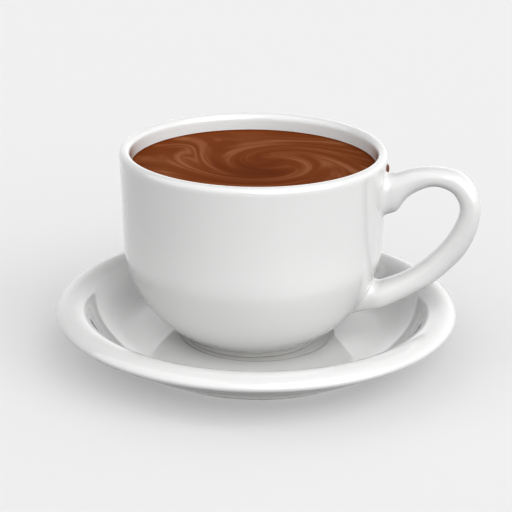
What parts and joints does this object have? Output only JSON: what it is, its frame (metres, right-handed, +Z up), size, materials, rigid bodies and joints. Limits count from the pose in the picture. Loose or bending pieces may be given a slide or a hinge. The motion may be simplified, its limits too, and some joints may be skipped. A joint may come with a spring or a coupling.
{
  "type": "hot chocolate",
  "caption": "Hot chocolate filled to just under the lip of a round-bellied white porcelain cup with an ear-shaped handle, standing on its round rolled-rim saucer.",
  "frame": {"origin": "centre of the saucer's foot ring, on the plane it stands on", "axes": "+Z up along the saucer's axis, +X towards the cup's handle, +Y across the handle"},
  "size_m": [0.1527, 0.1464, 0.0768],
  "materials": {
    "porcelain": "clear glossy glaze over white porcelain, bare on the foot rings",
    "chocolate": "smooth liquid surface with soft paler swirls of milk"
  },
  "bodies": {
    "root": {"saucer": "porcelain", "cup": "porcelain", "drink": "chocolate"}
  },
  "joints": []
}
